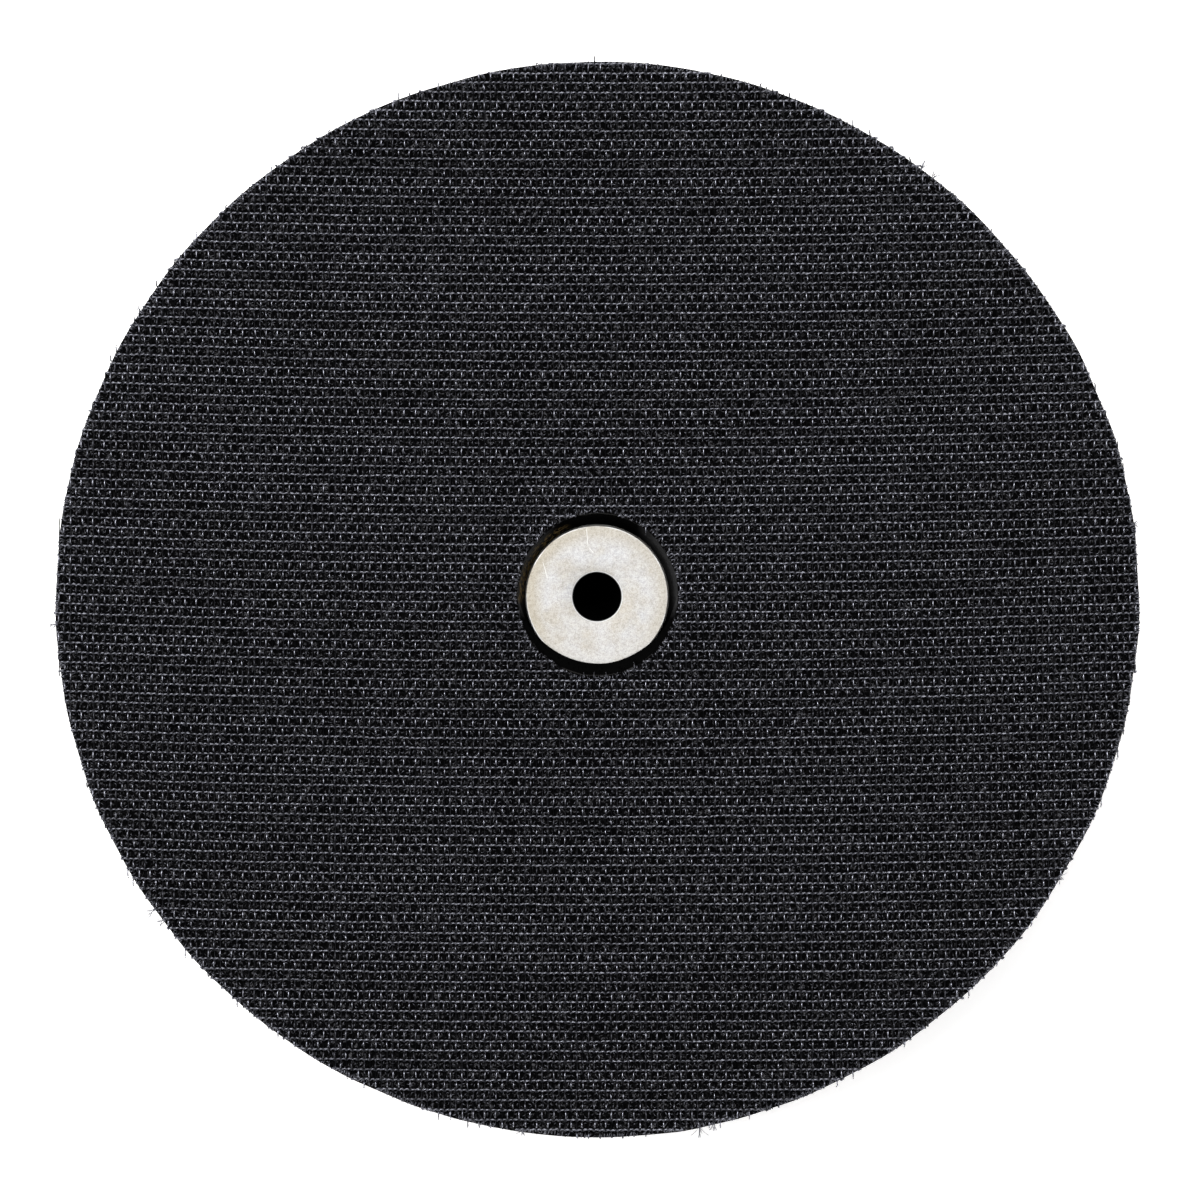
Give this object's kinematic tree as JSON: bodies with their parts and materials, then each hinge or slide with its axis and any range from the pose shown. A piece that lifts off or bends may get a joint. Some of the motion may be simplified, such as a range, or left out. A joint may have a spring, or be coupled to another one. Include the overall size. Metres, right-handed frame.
{
  "type": "orbital sander backing pad",
  "caption": "Round hook-and-loop backing pad: woven hook face on a foam disc, bonded to a riveted glass-fibre core with a hexagonal steel hub threaded right through.",
  "frame": {"origin": "centre of the hub's seat, the flat end of the hexagon that butts against the machine's spindle", "axes": "+Z along the pad's axis from the hub's seat out of the hook face; +X runs along the fabric's weft rows and through one corner of the hexagon"},
  "size_m": [0.15, 0.15, 0.0218],
  "materials": {
    "hook_fabric": "woven polyamide, satin filaments",
    "bonding_film": "hot-melt film",
    "foam": "moulded foam with a thin skin",
    "glass_fibre": "glass-fibre laminate in phenolic resin",
    "zinc_steel": "zinc plated, satin",
    "hub_steel": "turned and zinc plated, satin",
    "rivet_steel": "cold-headed, zinc plated"
  },
  "bodies": {
    "root": {"hook_fabric": "hook_fabric", "bonding_film": "bonding_film", "foam_cushion": "foam", "front_plate": "glass_fibre", "rear_plate": "glass_fibre", "flange_plate": "zinc_steel", "clamp_ring": "zinc_steel", "rivets": "rivet_steel", "hub": "hub_steel"}
  },
  "joints": []
}
